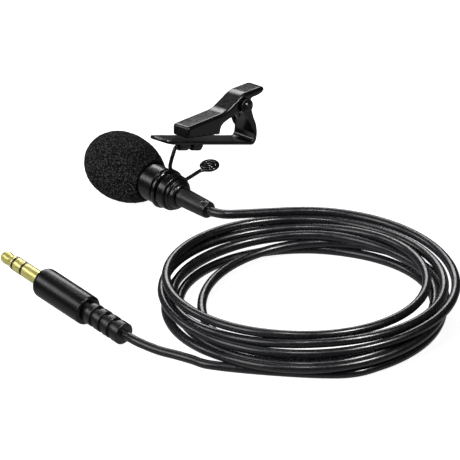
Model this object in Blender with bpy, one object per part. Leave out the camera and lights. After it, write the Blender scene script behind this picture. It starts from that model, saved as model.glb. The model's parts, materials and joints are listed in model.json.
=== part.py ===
"""Lavalier microphone with a foam windscreen, a wire-mounted crocodile clip, a coiled cable and a
3.5 mm plug. Metres, +Z up. The microphone's axis lies along Y, with the windscreen towards +Y."""

import math

import bmesh
import bpy
from mathutils import Matrix, Vector

MM = 0.001

# Microphone. Distances along its axis are measured from the windscreen's middle towards the cable.
FOAM_RADIUS = 8.23 * MM
FOAM_FRONT = 10.17 * MM
FOAM_TAPER = 12.76 * MM
BARREL_RADIUS = 4.4 * MM
BARREL_BORE = 3.45 * MM
BARREL_FRONT = -5.0 * MM
BARREL_REAR = 18.85 * MM
FOAM_CLEARANCE = 0.15 * MM
RING_STATION = 15.4 * MM
GROOVE_RADIUS = 3.85 * MM
GROOVE_WIDTH = 2.3 * MM
CAP_REAR = 21.0 * MM
MIC_REAR = 30.4 * MM
MIC_CENTRE = Vector((-12.58 * MM, 10.12 * MM, FOAM_RADIUS))

# Wire holder, in the plane of its ring.
WIRE_RADIUS = 0.47 * MM
RING_RADIUS = 4.42 * MM
HOLDER_LEAN = math.radians(19.57)
STEM_HEIGHT = 10.4 * MM
LEG_LENGTH = 8.6 * MM
ARM_ANGLE = math.radians(26.3)
ARM_REACH = 13.4 * MM
CURL_RADIUS = 1.95 * MM
BEND_RADIUS = 0.8 * MM

# Clip: u runs from the nose to the thumb lever, v across it towards the windscreen, and n up through the
# jaws. Its origin is on the wire's straight leg, which is the axis that the clip swivels on.
CLIP_SWIVEL = math.radians(6.5)
JAW_NEAR = -1.1 * MM
JAW_FAR = 5.9 * MM
JAW_THICKNESS = 0.8 * MM
PLATE_BOTTOM = 0.55 * MM
PIVOT_U = 21.0 * MM
PIVOT_N = 9.85 * MM
PIN_RADIUS = 0.75 * MM
EAR_RADIUS = 1.85 * MM
EAR_THICKNESS = 0.6 * MM
JAW_GAP = 0.25 * MM
SKIN = 0.65 * MM
TOOTH_COUNT = 5

# Cord and plug.
CABLE_RADIUS = 1.1 * MM
COIL_CENTRE = MIC_CENTRE + Vector((-6.12 * MM, -71.44 * MM, -FOAM_RADIUS))
COIL_OUTER = 35.6 * MM
COIL_INNER = 26.8 * MM
COIL_HEIGHT = 9.2 * MM
PLUG_REAR = MIC_CENTRE + Vector((-48.99 * MM, -54.62 * MM, 2.72 * MM - FOAM_RADIUS))
PLUG_LENGTH = 43.3 * MM
PLUG_PIN_RADIUS = 1.75 * MM
PLUG_PIN_LENGTH = 14.0 * MM
HOUSING_RADIUS = 3.65 * MM
HOUSING_REAR = 30.7 * MM
PLUG_TILT = math.radians(4.3)
PLUG_TURN = math.radians(1.7)

MESH_GAP = 0.3 * MM
THIN_GAP = 0.05 * MM
SEGMENTS = 32


def material(name, color, roughness, metallic=0.0):
    made = bpy.data.materials.new(name)
    made.use_nodes = True
    shader = made.node_tree.nodes["Principled BSDF"]
    shader.inputs["Base Color"].default_value = (*color, 1.0)
    shader.inputs["Roughness"].default_value = roughness
    shader.inputs["Metallic"].default_value = metallic
    made.diffuse_color = (*color, 1.0)
    return made


def add_mesh(name, bm, look, frame):
    """Makes an object of a bmesh, facing outwards, placed by the matrix of its frame."""
    bmesh.ops.recalc_face_normals(bm, faces=bm.faces)
    mesh = bpy.data.meshes.new(name)
    bm.to_mesh(mesh)
    bm.free()
    mesh.materials.append(look)
    mesh.shade_smooth()
    mesh.set_sharp_from_angle(angle=math.radians(35))
    made = bpy.data.objects.new(name, mesh)
    bpy.context.scene.collection.objects.link(made)
    made.matrix_world = frame
    return made


def turned(name, profile, look, frame, segments=SEGMENTS):
    """A solid turned about the frame's Z. The profile holds (station, radius) pairs. It is a closed
    outline, or it starts and ends on the axis."""
    bm = bmesh.new()
    rings = []
    for station, radius in profile:
        if radius == 0:
            rings.append([bm.verts.new((0, 0, station))])
            continue
        angles = [2 * math.pi * k / segments for k in range(segments)]
        rings.append([bm.verts.new((radius * math.cos(a), radius * math.sin(a), station)) for a in angles])
    on_axis = profile[0][1] == 0
    pairs = list(zip(rings, rings[1:])) + ([] if on_axis else [(rings[-1], rings[0])])
    for first, second in pairs:
        for k in range(segments):
            here, after = k, (k + 1) % segments
            corners = [first[here % len(first)], first[after % len(first)]]
            corners += [second[after % len(second)], second[here % len(second)]]
            bm.faces.new(list(dict.fromkeys(corners)))
    return add_mesh(name, bm, look, frame)


def rod(name, low, high, radius, look, frame, segments=20):
    return turned(name, [(low, 0), (low, radius), (high, radius), (high, 0)], look, frame, segments)


def extruded(name, outline, low, high, look, frame):
    """An outline in the frame's XZ plane, extruded along Y from low to high."""
    bm = bmesh.new()
    face = bm.faces.new([bm.verts.new((x, low, z)) for x, z in outline])
    grown = bmesh.ops.extrude_face_region(bm, geom=[face])
    moved = [v for v in grown["geom"] if isinstance(v, bmesh.types.BMVert)]
    bmesh.ops.translate(bm, verts=moved, vec=(0, high - low, 0))
    return add_mesh(name, bm, look, frame)


def combine(target, other, operation):
    """Applies a Boolean with the exact solver, and removes the other object."""
    modifier = target.modifiers.new(operation.lower(), "BOOLEAN")
    modifier.operation = operation
    modifier.solver = "EXACT"
    modifier.object = other
    graph = bpy.context.evaluated_depsgraph_get()
    mesh = bpy.data.meshes.new_from_object(target.evaluated_get(graph))
    target.modifiers.clear()
    target.data = mesh
    bpy.data.objects.remove(other)


def sweep(name, points, radius, look, frame, resolution=2):
    """A round wire or cable through the points, with closed ends."""
    curve = bpy.data.curves.new(name, "CURVE")
    curve.dimensions = "3D"
    curve.bevel_depth = radius
    curve.bevel_resolution = resolution
    curve.use_fill_caps = True
    spline = curve.splines.new("POLY")
    spline.points.add(len(points) - 1)
    for point, place in zip(spline.points, points):
        point.co = (*place, 1.0)
    curve.materials.append(look)
    made = bpy.data.objects.new(name, curve)
    bpy.context.scene.collection.objects.link(made)
    made.matrix_world = frame
    return made


def arc(centre, radius, start, end, steps):
    """Points of an arc in a plane, from one angle to another."""
    angles = [start + (end - start) * k / steps for k in range(steps + 1)]
    return [(centre[0] + radius * math.cos(a), centre[1] + radius * math.sin(a)) for a in angles]


def rounded(corners, radius, steps=3):
    """An outline whose corners are rounded by the radius, or less where a side is short."""
    outline = []
    for k, corner in enumerate(corners):
        here = Vector(corner)
        before = Vector(corners[k - 1]) - here
        after = Vector(corners[(k + 1) % len(corners)]) - here
        reach = min(radius, 0.45 * before.length, 0.45 * after.length)
        first, last = here + before.normalized() * reach, here + after.normalized() * reach
        for s in range(steps + 1):
            t = s / steps
            outline.append(tuple(first * (1 - t) ** 2 + here * 2 * t * (1 - t) + last * t**2))
    return outline


def smooth_route(points, spacing):
    """Points about this far apart along a smooth curve through the given ones."""
    places = [Vector(p) for p in points]
    padded = [2 * places[0] - places[1], *places, 2 * places[-1] - places[-2]]
    route = [places[0]]
    for before, start, end, after in zip(padded, padded[1:], padded[2:], padded[3:]):
        steps = max(1, round((end - start).length / spacing))
        for k in range(1, steps + 1):
            t = k / steps
            route.append(
                0.5
                * (
                    2 * start
                    + (end - before) * t
                    + (2 * before - 5 * start + 4 * end - after) * t**2
                    + (3 * start - before - 3 * end + after) * t**3
                )
            )
    return route


def frame_of(origin, x_axis, y_axis, z_axis):
    """The matrix of a frame with this origin and these axes."""
    turned_axes = Matrix((x_axis, y_axis, z_axis)).transposed().to_4x4()
    return Matrix.Translation(origin) @ turned_axes


def axis_frame(origin, direction, up):
    """A frame whose Z runs along the direction, and whose X is near to up."""
    z_axis = direction.normalized()
    y_axis = z_axis.cross(up).normalized()
    return frame_of(origin, y_axis.cross(z_axis), y_axis, z_axis)


for old in list(bpy.data.objects):
    bpy.data.objects.remove(old)

FOAM = material("windscreen_foam", (0.018, 0.018, 0.019), 0.95)
BLACK_METAL = material("black_satin_metal", (0.035, 0.035, 0.037), 0.38, 0.6)
CLIP_METAL = material("clip_satin_black", (0.045, 0.045, 0.047), 0.42, 0.5)
WIRE = material("black_gloss_wire", (0.02, 0.02, 0.021), 0.15, 0.7)
RUBBER = material("dark_rubber", (0.03, 0.03, 0.032), 0.6)
CABLE = material("cable_pvc", (0.035, 0.035, 0.039), 0.32)
PLUG_PLASTIC = material("plug_plastic", (0.045, 0.045, 0.05), 0.45)
GOLD = material("gold_plate", (0.83, 0.68, 0.24), 0.22, 1.0)
BAND = material("insulator_plastic", (0.01, 0.01, 0.012), 0.4)
STEEL = material("spring_steel", (0.5, 0.5, 0.52), 0.3, 1.0)
CAPSULE_METAL = material("capsule_aluminium", (0.75, 0.75, 0.77), 0.35, 1.0)
BOARD = material("board_green", (0.03, 0.16, 0.06), 0.5)
COPPER = material("insulated_core", (0.6, 0.12, 0.08), 0.45)
FELT = material("felt", (0.08, 0.08, 0.08), 0.95)

MIC = axis_frame(MIC_CENTRE, Vector((0, -1, 0)), Vector((0, 0, 1)))


def windscreen():
    bore = BARREL_RADIUS + FOAM_CLEARANCE
    bore_end = BARREL_FRONT - MESH_GAP
    rim_angle = math.asin((bore + 0.5 * MM) / FOAM_RADIUS)
    steps = 18
    angles = [math.pi - (math.pi - rim_angle) * k / steps for k in range(steps + 1)]
    profile = [(-FOAM_FRONT, 0)]
    for angle in angles[1:]:
        length = FOAM_FRONT if angle > math.pi / 2 else FOAM_TAPER
        profile.append((length * math.cos(angle), FOAM_RADIUS * math.sin(angle)))
    rim = profile[-1][0]
    profile += [(rim - 0.4 * MM, bore), (bore_end, bore), (bore_end, 0)]
    turned("foam_windscreen", profile, FOAM, MIC, 40)


def barrel():
    low, high = RING_STATION - GROOVE_WIDTH / 2, RING_STATION + GROOVE_WIDTH / 2
    chamfer = 0.4 * MM
    profile = [
        (BARREL_FRONT, BARREL_BORE),
        (BARREL_FRONT, BARREL_RADIUS - chamfer),
        (BARREL_FRONT + chamfer, BARREL_RADIUS),
        (low - 0.15 * MM, BARREL_RADIUS),
        (low, GROOVE_RADIUS),
        (high, GROOVE_RADIUS),
        (high + 0.15 * MM, BARREL_RADIUS),
        (BARREL_REAR - 0.5 * MM, BARREL_RADIUS),
        (BARREL_REAR, BARREL_RADIUS - 0.3 * MM),
        (BARREL_REAR, BARREL_BORE),
    ]
    turned("barrel", profile, BLACK_METAL, MIC)


def front_grille():
    front = BARREL_FRONT + 0.15 * MM
    rear = front + 0.6 * MM
    disc = rod("front_grille", front, rear, BARREL_BORE - THIN_GAP, CAPSULE_METAL, MIC, SEGMENTS)
    places = [(0.0, 0.0)] + arc((0, 0), 1.9 * MM, 0, 2 * math.pi * 5 / 6, 5)
    for x, y in places:
        place = MIC @ Matrix.Translation((x, y, 0)) @ Matrix.Rotation(0.11, 4, "Z")
        hole = rod("hole", front - MM, rear + MM, 0.55 * MM, BLACK_METAL, place, 12)
        combine(disc, hole, "DIFFERENCE")


def capsule():
    front = BARREL_FRONT + 1.0 * MM
    outer = BARREL_BORE - THIN_GAP
    ring = [(front, 1.2 * MM), (front, outer), (front + 0.5 * MM, outer), (front + 0.5 * MM, 1.2 * MM)]
    turned("capsule_gasket", ring, FELT, MIC)

    can_front = front + 0.6 * MM
    can_rear = can_front + 3.4 * MM
    can_radius = 2.95 * MM
    can = [
        (can_front, 0.9 * MM),
        (can_front, can_radius),
        (can_rear, can_radius),
        (can_rear, can_radius - 0.25 * MM),
        (can_front + 0.3 * MM, can_radius - 0.25 * MM),
        (can_front + 0.3 * MM, 0.9 * MM),
    ]
    turned("capsule_can", can, CAPSULE_METAL, MIC)

    boot_rear = can_rear + 1.6 * MM
    boot = [
        (can_front, can_radius + THIN_GAP),
        (can_front, outer),
        (boot_rear, outer),
        (boot_rear, can_radius + THIN_GAP),
    ]
    turned("capsule_boot", boot, RUBBER, MIC)

    inner = can_radius - 0.25 * MM - THIN_GAP
    start = can_front + 0.35 * MM
    turned(
        "diaphragm_ring",
        [(start, 1.9 * MM), (start, inner), (start + 0.4 * MM, inner), (start + 0.4 * MM, 1.9 * MM)],
        CAPSULE_METAL,
        MIC,
    )
    plate = start + 0.5 * MM
    rod("backplate", plate, plate + 0.6 * MM, inner, GOLD, MIC, SEGMENTS)
    board = can_rear + 0.1 * MM
    rod("capsule_board", board, board + 0.6 * MM, can_radius, BOARD, MIC, SEGMENTS)
    return board + 0.6 * MM


def rear_cap():
    spigot = BARREL_BORE - THIN_GAP
    collar, step = 3.85 * MM, 3.3 * MM
    seam = BARREL_REAR + THIN_GAP
    bore = 1.5 * MM
    profile = [
        (seam - 2.2 * MM, bore),
        (seam - 2.2 * MM, spigot),
        (seam, spigot),
        (seam, collar),
        (seam + 0.8 * MM, collar),
        (seam + 1.0 * MM, step),
        (CAP_REAR - 0.45 * MM, step - 0.2 * MM),
        (CAP_REAR, step - 0.55 * MM),
        (CAP_REAR, bore),
    ]
    turned("rear_cap", profile, BLACK_METAL, MIC)


def mic_strain_relief():
    """The moulded sleeve on the cable, with a neck through the cap and a head inside the barrel."""
    neck = 1.5 * MM - THIN_GAP
    head = BARREL_REAR - 2.2 * MM - 0.25 * MM
    start = CAP_REAR + 0.1 * MM
    profile = [
        (head - 0.8 * MM, 0),
        (head - 0.8 * MM, 2.3 * MM),
        (head, 2.3 * MM),
        (head, neck),
        (start, neck),
        (start, 2.25 * MM),
        (start + 0.5 * MM, 2.3 * MM),
        (MIC_REAR - 1.5 * MM, 2.05 * MM),
        (MIC_REAR - 0.3 * MM, 2.05 * MM),
        (MIC_REAR, 1.85 * MM),
        (MIC_REAR, 0),
    ]
    turned("mic_strain_relief", profile, RUBBER, MIC)
    return head - 0.8 * MM


def mic_conductors(board_rear, head_front):
    """Two insulated cores from the capsule's board to the cable, through the crimp ferrule."""
    low, high = head_front - 3.0 * MM, head_front - 0.4 * MM
    ferrule = [(low, 1.2 * MM), (low, 1.7 * MM), (high, 1.7 * MM), (high, 1.2 * MM)]
    turned("crimp_ferrule", ferrule, STEEL, MIC, 16)
    for name, side, look in (("signal_core", 1, COPPER), ("ground_core", -1, WIRE)):
        ends = (board_rear + 0.1 * MM, head_front - 0.1 * MM)
        spread = (1.3 * MM, 0.5 * MM)
        steps = 8
        points = []
        for k in range(steps + 1):
            t = k / steps
            ease = t * t * (3 - 2 * t)
            across = side * (spread[0] + (spread[1] - spread[0]) * ease)
            points.append((across, 0, ends[0] + (ends[1] - ends[0]) * t))
        sweep(name, points, 0.32 * MM, look, MIC, 1)


# The ring's plane: X runs along the leg and Y from the ring's middle to the leg, so Z runs to the cable.
LEG_AXIS = Vector((math.cos(HOLDER_LEAN), 0, -math.sin(HOLDER_LEAN)))
STEM_AXIS = Vector((math.sin(HOLDER_LEAN), 0, math.cos(HOLDER_LEAN)))
RING_CENTRE = MIC_CENTRE + Vector((0, -RING_STATION, 0))
HOLDER = frame_of(RING_CENTRE, LEG_AXIS, STEM_AXIS, LEG_AXIS.cross(STEM_AXIS))


def wire_holder():
    """One wire: an eye, an arm, a ring of just over one turn, a stem, and the leg that the clip swings on."""
    pitch = 2 * WIRE_RADIUS + 0.12 * MM
    arm = Vector((math.cos(ARM_ANGLE), math.sin(ARM_ANGLE), 0))
    back = Vector((0, 0, 1))
    points = []

    eye_middle = arm * ARM_REACH + back * (pitch / 2)
    eye_turns, eye_steps = 1.6, 32
    step_in = 2 * WIRE_RADIUS + 0.07 * MM
    for k in range(eye_steps, -1, -1):
        turns = eye_turns * k / eye_steps
        angle = math.radians(150) - 2 * math.pi * turns
        t = min(max((turns - 0.75) / 0.25, 0), 1)
        radius = CURL_RADIUS - step_in * t * t * (3 - 2 * t)
        points.append(eye_middle + radius * (math.cos(angle) * arm + math.sin(angle) * back))
    for along, across in ((-2.2, 0.33), (-2.75, 0.06), (-3.4, 0.0)):
        points.append(eye_middle + (along * arm + across * back) * MM)

    points.append(arm * (RING_RADIUS + BEND_RADIUS) + back * (pitch / 2))
    sweep_angle = 2 * math.pi + math.pi / 2 - ARM_ANGLE - 2 * BEND_RADIUS / RING_RADIUS
    first_angle = ARM_ANGLE + BEND_RADIUS / RING_RADIUS
    ring_steps = 40
    for k in range(ring_steps + 1):
        t = k / ring_steps
        angle = first_angle + sweep_angle * t
        place = Vector((math.cos(angle), math.sin(angle), 0)) * RING_RADIUS
        points.append(place + back * (pitch * (0.5 - t)))

    plane = -pitch / 2
    points.append(Vector((0, RING_RADIUS + BEND_RADIUS, plane)))
    turn = arc((BEND_RADIUS, STEM_HEIGHT - BEND_RADIUS), BEND_RADIUS, math.pi, math.pi / 2, 4)
    points += [Vector((x, y, plane)) for x, y in turn]
    points.append(Vector((LEG_LENGTH, STEM_HEIGHT, plane)))
    sweep("wire_holder", points, WIRE_RADIUS, WIRE, HOLDER)
    return plane


def clip_frame(plane):
    """The clip's frame: X is u, Y is v and Z is n, with its origin on the wire's straight leg."""
    origin = HOLDER @ Vector((0, STEM_HEIGHT, plane))
    front = Vector((0, 1, 0))
    across = math.cos(CLIP_SWIVEL) * front - math.sin(CLIP_SWIVEL) * STEM_AXIS
    up = math.cos(CLIP_SWIVEL) * STEM_AXIS + math.sin(CLIP_SWIVEL) * front
    return frame_of(origin, LEG_AXIS, across, up)


def across_frame(clip, u, n):
    """A frame on the clip whose Z runs across it, for pins and round lugs."""
    return clip @ Matrix.Translation((u, 0, n)) @ Matrix.Rotation(-math.pi / 2, 4, "X")


def lower_jaw(clip):
    top = PLATE_BOTTOM + JAW_THICKNESS
    wall_outer = [(25.2, 0.55), (25.9, 1.6), (25.9, 3.4), (25.0, 5.8), (23.3, 7.8)]
    wall_inner = [(22.7, 7.3), (24.2, 5.4), (25.1, 3.3), (25.1, 2.0), (24.6, 1.35)]
    nose = -1.4 * MM
    outline = [(nose, PLATE_BOTTOM)]
    outline += [(u * MM, n * MM) for u, n in wall_outer + wall_inner]
    outline += [(nose, top)]
    jaw = extruded("lower_jaw", outline, JAW_NEAR, JAW_FAR, CLIP_METAL, clip)

    middle = (JAW_FAR + JAW_NEAR) / 2
    half = (JAW_FAR - JAW_NEAR) / 2
    bm = bmesh.new()
    tongue_length, overlap = 3.5 * MM, 0.6 * MM
    layers = []
    for level in (PLATE_BOTTOM, top):
        edge = []
        for x, y in arc((0, 0), 1.0, math.pi / 2, 3 * math.pi / 2, 12):
            rise = 0.4 * MM * x * x
            edge.append(bm.verts.new((nose + tongue_length * x, middle + half * y, level + rise)))
        edge.append(bm.verts.new((nose + overlap, middle - half, level)))
        edge.append(bm.verts.new((nose + overlap, middle + half, level)))
        layers.append(edge)
    for edge in layers:
        bm.faces.new(edge)
    for k in range(len(layers[0])):
        after = (k + 1) % len(layers[0])
        bm.faces.new([layers[0][k], layers[0][after], layers[1][after], layers[1][k]])
    bmesh.ops.triangulate(bm, faces=bm.faces)
    combine(jaw, add_mesh("tongue", bm, CLIP_METAL, clip), "UNION")

    ear = across_frame(clip, PIVOT_U, PIVOT_N)
    lug = arc((PIVOT_U, PIVOT_N), EAR_RADIUS, math.radians(-25), math.radians(240), 18)
    lug += [(u * MM, n * MM) for u, n in ((21.0, 7.9), (22.9, 6.1), (24.3, 4.3), (25.4, 3.9), (25.0, 5.2))]
    for low in (JAW_NEAR + THIN_GAP, JAW_FAR - EAR_THICKNESS):
        high = low + EAR_THICKNESS - THIN_GAP
        combine(jaw, extruded("lug", lug, low, high, CLIP_METAL, clip), "UNION")
    pin_hole = rod("pin_hole", JAW_NEAR - MM, JAW_FAR + MM, PIN_RADIUS + THIN_GAP, CLIP_METAL, ear)
    combine(jaw, pin_hole, "DIFFERENCE")

    along = clip @ Matrix.Rotation(math.pi / 2, 4, "Y")
    for start, end in ((0.85 * MM, 4.0 * MM), (5.2 * MM, 8.3 * MM)):
        combine(jaw, rod("knuckle", start, end, 1.05 * MM, CLIP_METAL, along), "UNION")
        neck = [(start, 0.1 * MM), (end, 0.1 * MM), (end, 0.8 * MM), (start, 0.8 * MM)]
        combine(jaw, extruded("neck", neck, -1.0 * MM, 0.8 * MM, CLIP_METAL, clip), "UNION")
    leg_hole = rod("leg_hole", -1.0 * MM, 9.6 * MM, WIRE_RADIUS + THIN_GAP, CLIP_METAL, along)
    combine(jaw, leg_hole, "DIFFERENCE")
    return ear


def upper_jaw(clip, pivot):
    near, far = JAW_NEAR + EAR_THICKNESS + JAW_GAP, JAW_FAR - EAR_THICKNESS - JAW_GAP
    nose_u, nose_n = 2.9, 4.4
    front_low = (3.6, 1.75)
    teeth_end = (14.1, 2.9)
    top = [(14.8, 8.15), (20.0, 12.8), (25.6, 14.45), (26.6, 14.4), (26.9, 13.7)]
    underside = [(26.3, 12.9), (25.0, 12.35), (22.8, 11.75), (22.3, 10.4), (21.6, 8.5), (20.0, 8.4)]
    arch = [(18.9, 8.0), (15.3, 6.0), (14.1, 4.9)]
    outline = [(nose_u, nose_n), *top, *underside, *arch, teeth_end, front_low]
    body = rounded([(u * MM, n * MM) for u, n in outline], 0.5 * MM, 2)
    jaw = extruded("upper_jaw", body, near, far, CLIP_METAL, clip)

    hollow = [(3.6, 4.0), (14.6, 7.4), (20.3, 12.1), (25.2, 13.6), (25.2, 6.0), (14.0, 0.0), (4.3, 0.0)]
    hollow = [(u * MM, n * MM) for u, n in hollow]
    channel = extruded("channel", hollow, near + SKIN, far - SKIN, CLIP_METAL, clip)
    combine(jaw, channel, "DIFFERENCE")

    pitch = (teeth_end[0] - front_low[0] - 0.6) / TOOTH_COUNT
    rise = (teeth_end[1] - front_low[1]) / (teeth_end[0] - front_low[0])
    for k in range(TOOTH_COUNT):
        u = front_low[0] + 0.75 + pitch * k
        n = front_low[1] + rise * (u - front_low[0])
        notch = [(u, n - 0.6), (u + 0.7 * pitch, n - 0.6), (u + 0.12 * pitch, n + 0.95)]
        cut = [(x * MM, z * MM) for x, z in notch]
        combine(jaw, extruded("notch", cut, near - MM, far + MM, CLIP_METAL, clip), "DIFFERENCE")

    pin_hole = rod("pin_hole", near - MM, far + MM, PIN_RADIUS + THIN_GAP, CLIP_METAL, pivot)
    combine(jaw, pin_hole, "DIFFERENCE")


def pivot_pin(pivot):
    head = 1.25 * MM
    end = 0.45 * MM
    low, high = JAW_NEAR - THIN_GAP, JAW_FAR + THIN_GAP
    profile = [
        (low - end, 0),
        (low - end, head - 0.3 * MM),
        (low, head),
        (low, PIN_RADIUS),
        (high, PIN_RADIUS),
        (high, head),
        (high + end, head - 0.3 * MM),
        (high + end, 0),
    ]
    turned("pivot_pin", profile, CLIP_METAL, pivot, 20)


def torsion_spring(clip):
    """A few turns of wire round the pin, with one arm under the thumb lever and one against the rear wall."""
    wire = 0.22 * MM
    radius = PIN_RADIUS + wire + 0.12 * MM
    start, end = math.radians(115), math.radians(224.4 + 3 * 360)
    upper_arm, lower_arm, steps = 3.8 * MM, 4.4 * MM, 40
    middle = (JAW_FAR + JAW_NEAR) / 2
    length = 2.4 * MM
    points = []
    for k in range(steps + 1):
        t = k / steps
        angle = start + (end - start) * t
        u, n = PIVOT_U + radius * math.cos(angle), PIVOT_N + radius * math.sin(angle)
        points.append(Vector((u, middle + length * (t - 0.5), n)))
    points.insert(0, points[0] - upper_arm * Vector((-math.sin(start), 0, math.cos(start))))
    points.append(points[-1] + lower_arm * Vector((-math.sin(end), 0, math.cos(end))))
    sweep("torsion_spring", points, wire, STEEL, clip, 0)


def plug(frame):
    """A three-pole plug. Stations run from its tip to the end of its strain relief."""
    pin = PLUG_PIN_RADIUS
    band = pin - 0.03 * MM
    rod_radius, tip_tube, ring_tube, core_tube = 0.45 * MM, 0.7 * MM, 1.0 * MM, 1.3 * MM
    gap = THIN_GAP
    tip_end, ring_start, ring_end, sleeve_start = 4.3 * MM, 4.95 * MM, 7.4 * MM, 8.05 * MM
    tip = [
        (0, 0),
        (0, 1.05 * MM),
        (0.25 * MM, 1.3 * MM),
        (1.0 * MM, 1.5 * MM),
        (1.5 * MM, 1.5 * MM),
        (2.7 * MM, 1.35 * MM),
        (3.7 * MM, pin - 0.1 * MM),
        (tip_end, pin - 0.04 * MM),
        (tip_end, rod_radius),
        (19.8 * MM, rod_radius),
        (19.8 * MM, 0),
    ]
    turned("plug_tip_contact", tip, GOLD, frame, 24)
    turned(
        "plug_front_insulator",
        [
            (tip_end + gap, rod_radius + gap),
            (tip_end + gap, band),
            (ring_start - gap, band),
            (ring_start - gap, tip_tube - gap),
            (19.2 * MM, tip_tube - gap),
            (19.2 * MM, rod_radius + gap),
        ],
        BAND,
        frame,
        24,
    )
    turned(
        "plug_ring_contact",
        [
            (ring_start, tip_tube),
            (ring_start, pin),
            (ring_end, pin),
            (ring_end, ring_tube),
            (18.6 * MM, ring_tube),
            (18.6 * MM, tip_tube),
        ],
        GOLD,
        frame,
        24,
    )
    turned(
        "plug_rear_insulator",
        [
            (ring_end + gap, ring_tube + gap),
            (ring_end + gap, band),
            (sleeve_start - gap, band),
            (sleeve_start - gap, core_tube),
            (18.0 * MM, core_tube),
            (18.0 * MM, ring_tube + gap),
        ],
        BAND,
        frame,
        24,
    )
    flange = 15.8 * MM
    turned(
        "plug_sleeve_contact",
        [
            (sleeve_start, core_tube + gap),
            (sleeve_start, pin),
            (flange, pin),
            (flange, 2.3 * MM),
            (flange + 1.2 * MM, 2.3 * MM),
            (flange + 1.2 * MM, core_tube + gap),
        ],
        GOLD,
        frame,
        24,
    )
    bore, front = 2.4 * MM, PLUG_PIN_LENGTH
    rim = 0.9 * MM
    edge = arc((front + rim, HOUSING_RADIUS - rim), rim, math.pi, math.pi / 2, 4)
    housing = [(front, pin + gap), *edge]
    housing += [(HOUSING_REAR - 0.9 * MM, HOUSING_RADIUS), (HOUSING_REAR, HOUSING_RADIUS - 0.5 * MM)]
    housing += [(HOUSING_REAR, bore), (flange - gap, bore), (flange - gap, pin + gap)]
    turned("plug_housing", housing, PLUG_PLASTIC, frame)

    spigot_front = 25.5 * MM
    start = HOUSING_REAR + gap
    outer, groove = 2.7 * MM, 2.15 * MM
    relief = [(spigot_front, 0), (spigot_front, bore - gap), (start, bore - gap), (start, groove)]
    rib_count, rib, slot = 4, 1.95 * MM, 1.15 * MM
    station = start + 0.95 * MM
    for k in range(rib_count):
        end = PLUG_LENGTH if k == rib_count - 1 else station + rib
        relief.append((station, groove))
        for along, in_by in ((0.0, 0.35), (0.12, 0.12), (0.45, 0.0)):
            relief.append((station + along * MM, outer - in_by * MM))
        for along, in_by in ((0.45, 0.0), (0.12, 0.12), (0.0, 0.35)):
            relief.append((end - along * MM, outer - in_by * MM))
        if k < rib_count - 1:
            relief.append((end, groove))
        station = end + slot
    relief += [(PLUG_LENGTH, 0)]
    turned("plug_strain_relief", relief, RUBBER, frame)

    for name, reach, start_at, look in (
        ("plug_tip_core", 0.0, 19.8 * MM, COPPER),
        ("plug_ring_core", 1.15 * MM, 18.6 * MM, BOARD),
        ("plug_sleeve_core", -1.75 * MM, 17.0 * MM, WIRE),
    ):
        points = []
        steps = 5
        begin = start_at + 2 * gap
        for k in range(steps + 1):
            t = k / steps
            across = reach * (1 - 0.45 * t)
            points.append((across, 0, begin + (spigot_front - gap - begin) * t))
        sweep(name, points, 0.25 * MM, look, frame, 1)


# The stretches of cable that aren't coiled, as points from the microphone to the coil, and from the
# coil to the plug. They are measured from the windscreen's middle, on the ground.
LEAD_ROUTE = [(0.0, -30.4, 8.23), (0.07, -31.63, 8.23), (0.7, -33.22, 8.23), (1.89, -34.76, 8.23)]
TAIL_ROUTE = [
    (-42.95, -75.78, 1.15),
    (-43.5, -72.98, 1.15),
    (-44.9, -68.44, 1.2),
    (-46.9, -64.0, 1.5),
    (-48.72, -58.67, 2.35),
    (-48.95, -56.2, 2.6),
    (-48.99, -54.62, 2.72),
]


def cable():
    ground = MIC_CENTRE - Vector((0, 0, FOAM_RADIUS))
    step = 2 * CABLE_RADIUS
    for name, route, end in (("cable_lead", LEAD_ROUTE, 0), ("cable_tail", TAIL_ROUTE, -1)):
        places = [ground + Vector(p) * MM for p in route]
        places[end].y -= MESH_GAP
        sweep(name, smooth_route(places, step), CABLE_RADIUS, CABLE, Matrix.Identity(4))

    low, high = 0.0, COIL_HEIGHT
    soft = 1.6 * MM
    corners = [(low, COIL_INNER), (low, COIL_OUTER), (high, COIL_OUTER), (high, COIL_INNER)]
    profile = rounded(corners, soft, 2)
    turned("cable_coil", profile, CABLE, Matrix.Translation(COIL_CENTRE), 56)


windscreen()
barrel()
front_grille()
BOARD_REAR = capsule()
rear_cap()
HEAD_FRONT = mic_strain_relief()
mic_conductors(BOARD_REAR, HEAD_FRONT)
CLIP = clip_frame(wire_holder())
PIVOT = lower_jaw(CLIP)
upper_jaw(CLIP, PIVOT)
pivot_pin(PIVOT)
torsion_spring(CLIP)
PLUG_DIRECTION = Vector((-math.sin(PLUG_TURN), -math.cos(PLUG_TURN), -math.tan(PLUG_TILT))).normalized()
PLUG_TIP = PLUG_REAR - PLUG_DIRECTION * PLUG_LENGTH
plug(axis_frame(PLUG_TIP, PLUG_DIRECTION, Vector((0, 0, 1))))
cable()
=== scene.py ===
"""The looks of the lavalier microphone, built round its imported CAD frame. Metres, +Z up."""

import json
import math

import bmesh
import bpy
import numpy as np
from mathutils import Matrix, Vector, noise


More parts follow.
